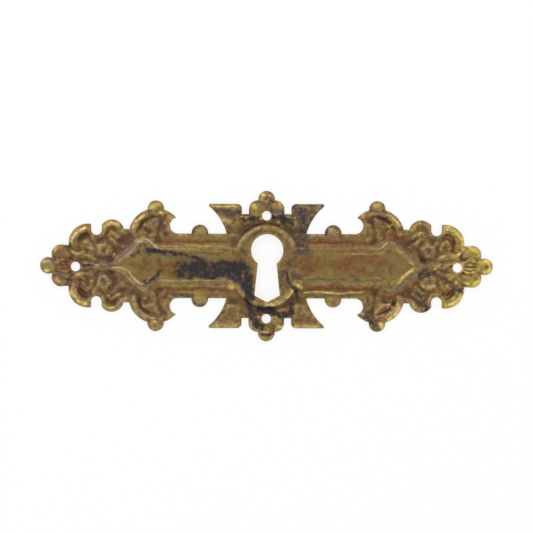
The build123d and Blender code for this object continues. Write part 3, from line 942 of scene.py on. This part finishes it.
def brass_material():
    """Old brass: olive brown, yellower along the edges, worn on the crests, with dirt in the hollows,
    blue-black stains, and painted shade, highlights and sheen.
    """
    material = bpy.data.materials.new("aged_brass")
    material.use_nodes = True
    n = Nodes(material.node_tree)
    coords = n.add("ShaderNodeTexCoord").outputs["Object"]
    clouds = n.noise(coords, cloud_scale, 3)
    blotches = n.noise(coords, blotch_scale, 4)
    mottle = n.noise(coords, mottle_scale, 5, 0.65)
    grain = n.noise(coords, grain_scale, 3, 0.7)
    grime_and_shade_mask = n.mask("grime_and_shade")
    edge_mask = n.mask("edge")

    calm = n.spread(n.mask("plain"), 0, 1, 0.85, 0.35)
    colour = n.mix(n.spread(clouds, 0.38, 0.60, 0, 1), patina, olive)
    colour = n.mix(n.spread(blotches, 0.50, 0.68, 0, 0.6), colour, umber)
    colour = n.mix(n.maths("MULTIPLY", n.spread(mottle, 0.46, 0.66, 0, 1), calm), colour, umber)
    colour = n.mix(n.maths("MULTIPLY", n.spread(mottle, 0.46, 0.30, 0, 0.6), calm), colour, yellow_brass)
    rubbed = n.maths("MULTIPLY", edge_mask, n.spread(mottle, 0.3, 0.6, 0.85, 0.2))
    colour = n.mix(rubbed, colour, yellow_brass)
    gilded = n.maths("MULTIPLY", n.mask("gilt"), n.spread(mottle, 0.3, 0.6, 0.9, 0.3))
    gilded = n.maths("MULTIPLY", gilded, n.spread(edge_mask, 0, 0.6, 0.45, 1.0))
    colour = n.mix(gilded, colour, gilt_brass)
    # grey film with painted sheen on the outer slopes
    filmed_sheen = n.maths("MULTIPLY", n.mask("film_sheen"), n.spread(mottle, 0.3, 0.65, 0.9, 0.2))
    colour = n.mix(filmed_sheen, colour, grey_film_sheen)
    # dark patches, partly tarnish and partly painted shade
    dark_and_shaded = n.maths("MULTIPLY", n.mask("dark_and_shade"), n.spread(mottle, 0.3, 0.6, 0.45, 1.0))
    colour = n.mix(dark_and_shaded, colour, purple_dark_and_shade)
    # red-brown where tarnished, and in the hollows, where it is partly painted shade
    red = n.maths("ADD", n.mask("tarnish"), n.maths("MULTIPLY", grime_and_shade_mask, 0.5))
    red = n.maths("MULTIPLY", red, n.spread(mottle, 0.32, 0.58, 0.4, 1.0), clamp=True)
    colour = n.mix(red, colour, red_tarnish)
    # dark dirt in the hollows, partly painted shade
    dirty_and_shaded = n.maths("MULTIPLY", grime_and_shade_mask, n.spread(blotches, 0.35, 0.65, 0.25, 0.8), clamp=True)
    colour = n.mix(dirty_and_shaded, colour, dirt_and_shade)
    uneven = n.spread(mottle, 0.3, 0.65, 1.0, 0.35)
    # tan on the crests, worn and partly painted highlight
    colour = n.mix(n.maths("MULTIPLY", n.mask("wear_and_highlight"), uneven), colour, tan_wear_highlight)
    # polished spots in bright brass, partly painted highlight
    polished_highlight = n.maths("MULTIPLY", n.mask("polish_highlight"), uneven)
    colour = n.mix(polished_highlight, colour, bright_highlight_brass)
    speckled = n.maths("MULTIPLY", n.mask("stain"), n.spread(mottle, 0.36, 0.58, 0.56, 1.2))
    speckled = n.maths("MULTIPLY", speckled, n.spread(grain, 0.3, 0.6, 0.75, 1.1))
    stained = n.spread(speckled, 0.0, 1.0, 0, 0.95)
    colour = n.mix(stained, colour, blue_black)

    gloss = n.maths("MULTIPLY", polished_highlight, -polish_gloss)
    roughness = n.maths("ADD", n.spread(mottle, 0.3, 0.7, 0.38, 0.55), gloss)
    bumps = n.maths("ADD", n.maths("MULTIPLY", mottle, 0.7), n.maths("MULTIPLY", grain, 0.3))
    bump = n.add("ShaderNodeBump", Height=bumps, Strength=pitting, Distance=pit_depth)
    shader = n.add("ShaderNodeBsdfPrincipled", Base_Color=colour, Roughness=roughness,
                   Metallic=n.spread(stained, 0, 1, 1.0, 0.85), Normal=bump.outputs[0])
    n.add("ShaderNodeOutputMaterial", Surface=shader.outputs[0])
    return material


# the floor

tooth_scale = 1500  # of the paper's noise, per metre
paper_white = (0.9, 0.9, 0.9, 1)
floor_glow = 0.8  # share of plain white in what the camera sees of the floor


def floor_material():
    """White paper that keeps the soft shadow under the plate."""
    material = bpy.data.materials.new("white_paper")
    material.use_nodes = True
    n = Nodes(material.node_tree)
    path = n.add("ShaderNodeLightPath")
    seen = n.maths("ADD", path.outputs["Is Camera Ray"], path.outputs["Is Glossy Ray"], clamp=True)
    seen = n.maths("ADD", seen, path.outputs["Is Transmission Ray"], clamp=True)
    coords = n.add("ShaderNodeTexCoord").outputs["Object"]
    tooth = n.noise(coords, tooth_scale, 3)
    bump = n.add("ShaderNodeBump", Height=tooth, Strength=0.05, Distance=0.0001)
    paper = n.add("ShaderNodeBsdfDiffuse", Color=paper_white, Normal=bump.outputs[0])
    glow = n.add("ShaderNodeEmission", Color=(1, 1, 1, 1), Strength=1.0)
    share = n.maths("MULTIPLY", seen, floor_glow)
    mixed = n.add("ShaderNodeMixShader", **{"0": share, "1": paper.outputs[0], "2": glow.outputs[0]})
    n.add("ShaderNodeOutputMaterial", Surface=mixed.outputs[0])
    return material


# the studio

floor_size = 3.0
floor_drop = 0.00005  # so that the back doesn't lie in the floor's own plane
overhead = 0.82  # brightness straight above, where the camera stands
sideways = 1.2  # brightness of the white walls of the tent
tent = (0.45, 0.97)  # how far up a direction points, where the walls end and the overhead begins
window_place = (-0.25, 0.55, 0.6)
window_size = 0.35
window_power = 1.0


def studio_world():
    """White tent: bright walls all round, darker overhead."""
    world = bpy.data.worlds.new("tent")
    world.use_nodes = True
    bpy.context.scene.world = world
    n = Nodes(world.node_tree)
    direction = n.add("ShaderNodeTexCoord").outputs["Generated"]
    up = n.add("ShaderNodeSeparateXYZ", Vector=direction).outputs["Z"]
    strength = n.spread(up, *tent, sideways, overhead)
    glow = n.add("ShaderNodeBackground", Color=(1, 1, 1, 1), Strength=strength)
    n.add("ShaderNodeOutputWorld", Surface=glow.outputs[0])


def lamp(name, place, size, power):
    """Soft square lamp that faces the plate."""
    light = bpy.data.lights.new(name, "AREA")
    light.size = size
    light.energy = power
    lamp_object = bpy.data.objects.new(name, light)
    lamp_object.location = place
    lamp_object.rotation_euler = (-Vector(place)).to_track_quat("-Z", "Y").to_euler()
    bpy.context.scene.collection.objects.link(lamp_object)


def studio():
    """The floor, the tent and the lamp."""
    mesh = bpy.data.meshes.new("floor")
    half = floor_size / 2
    corners = [(-half, -half), (half, -half), (half, half), (-half, half)]
    mesh.from_pydata([(x, y, -floor_drop) for x, y in corners], [], [(0, 1, 2, 3)])
    mesh.materials.append(floor_material())
    floor = bpy.data.objects.new("floor", mesh)
    bpy.context.scene.collection.objects.link(floor)
    studio_world()
    lamp("window", window_place, window_size, window_power)


def photo_camera():
    """Camera straight above, framed as the photograph is."""
    camera = bpy.data.cameras.new("photo_camera")
    camera.sensor_width = sensor
    camera.lens = lens
    height = photo_width * lens / sensor
    camera_object = bpy.data.objects.new("photo_camera", camera)
    camera_object.location = (-photo_shift[0] * MM, -photo_shift[1] * MM, height * MM)
    camera_object.rotation_euler = (0, 0, photo_turn)
    bpy.context.scene.collection.objects.link(camera_object)
    bpy.context.scene.camera = camera_object


plate = plate_object()
plate.data.materials.append(brass_material())
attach(plate, "root")
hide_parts(NODE)
studio()
photo_camera()
bpy.context.scene.view_settings.view_transform = "Standard"
